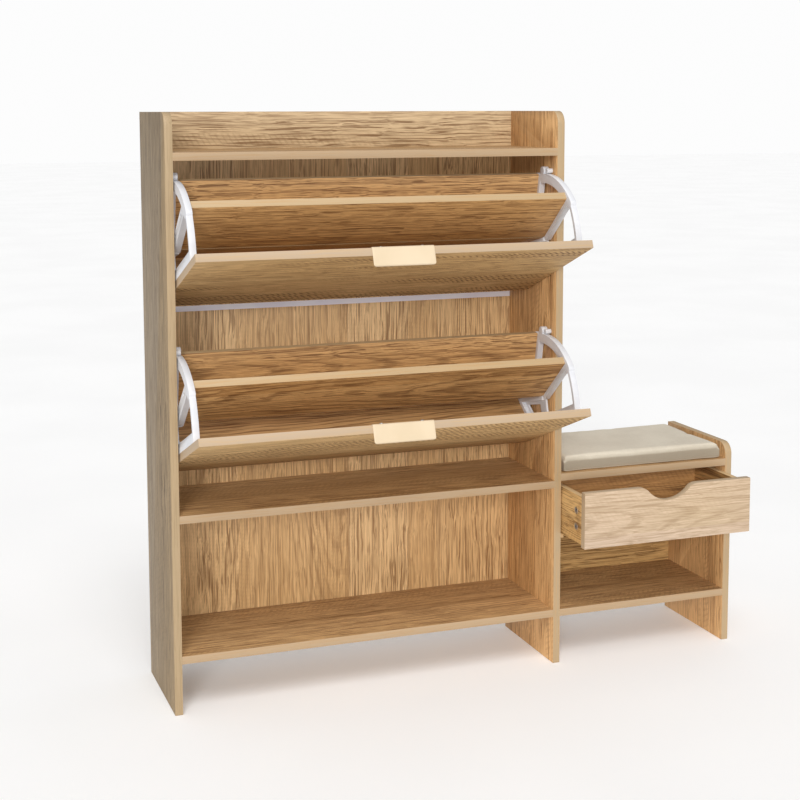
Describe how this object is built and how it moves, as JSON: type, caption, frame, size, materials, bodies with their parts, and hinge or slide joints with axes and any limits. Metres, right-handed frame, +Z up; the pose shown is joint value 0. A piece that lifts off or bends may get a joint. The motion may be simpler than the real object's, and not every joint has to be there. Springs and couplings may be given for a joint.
{
  "type": "shoe cabinet",
  "caption": "Tall oak-look shoe cabinet with flip-down shoe units and an open shelf, joined to a low bench with a drawer and a padded seat.",
  "frame": {"origin": "bottom centre of the whole cabinet's box as it stands, both flip units open and the drawer part way out", "axes": "+X along the cabinet's width to the bench end, +Y from the front to the wall, +Z up"},
  "size_m": [1.2, 0.413, 1.13],
  "materials": {
    "side_oak": "light oak sawn-texture laminate, grain upright, satin",
    "shelf_oak": "light oak sawn-texture laminate, grain along the board, satin",
    "door_oak": "light oak sawn-texture laminate with rippled figure, satin",
    "divider_oak": "light oak laminate, satin",
    "drawer_front_oak": "pale oak sawn-texture laminate, satin",
    "drawer_box_oak": "light oak laminate, satin",
    "back_sheet": "thin printed oak sheet, satin",
    "runner_wood": "light oak laminate, satin",
    "dowel_beech": "plain beech",
    "joint_strip": "white extruded plastic, satin",
    "white_plastic": "white moulded plastic, satin",
    "pull_cream": "cream, satin",
    "fastener_steel": "zinc plated",
    "cushion_fabric": "beige grey woven cloth over foam"
  },
  "bodies": {
    "cabinet": {"left_side_panel": "side_oak", "middle_side_panel": "side_oak", "right_side_panel": "side_oak", "top_board": "shelf_oak", "gallery_board": "shelf_oak", "middle_shelf": "shelf_oak", "bottom_shelf": "shelf_oak", "bench_seat_board": "shelf_oak", "bench_shelf": "shelf_oak", "back_panel_upper": "back_sheet", "back_panel_lower": "back_sheet", "bench_back_panel": "back_sheet", "back_joint_strip": "joint_strip", "left_drawer_runner": "runner_wood", "right_drawer_runner": "runner_wood", "runner_screws": "fastener_steel", "seat_cushion": "cushion_fabric", "cam_bolts": "fastener_steel", "cam_locks": "fastener_steel", "dowels": "dowel_beech", "pivot_pins": "white_plastic", "stop_pegs": "white_plastic"},
    "upper_flip_unit": {"upper_door": "door_oak", "upper_pull": "pull_cream", "upper_pull_screws": "fastener_steel", "upper_left_frame": "white_plastic", "upper_right_frame": "white_plastic", "upper_frame_screws": "fastener_steel", "upper_door_screws": "fastener_steel", "upper_front_divider": "divider_oak", "upper_rear_floor": "divider_oak", "upper_rear_wall": "divider_oak", "upper_toe_board": "divider_oak"},
    "lower_flip_unit": {"lower_door": "door_oak", "lower_pull": "pull_cream", "lower_pull_screws": "fastener_steel", "lower_left_frame": "white_plastic", "lower_right_frame": "white_plastic", "lower_frame_screws": "fastener_steel", "lower_door_screws": "fastener_steel", "lower_front_divider": "divider_oak", "lower_rear_floor": "divider_oak", "lower_rear_wall": "divider_oak", "lower_toe_board": "divider_oak"},
    "drawer": {"drawer_front": "drawer_front_oak", "drawer_left_side": "drawer_box_oak", "drawer_right_side": "drawer_box_oak", "drawer_back": "drawer_box_oak", "drawer_bottom": "back_sheet", "drawer_bolts": "fastener_steel", "drawer_cams": "fastener_steel", "drawer_screws": "fastener_steel"}
  },
  "joints": [
    {"name": "upper_flip", "type": "hinge", "parent": "cabinet", "child": "upper_flip_unit", "pos_m": [-0.2, -0.00252, 0.832], "axis": [1, 0, 0], "range_deg": [-69.2, 0]},
    {"name": "lower_flip", "type": "hinge", "parent": "cabinet", "child": "lower_flip_unit", "pos_m": [-0.2, -0.00252, 0.508], "axis": [1, 0, 0], "range_deg": [-69.2, 0]},
    {"name": "drawer_slide", "type": "slide", "parent": "cabinet", "child": "drawer", "axis": [0, -1, 0], "range_m": [-0.101, 0.045]}
  ]
}
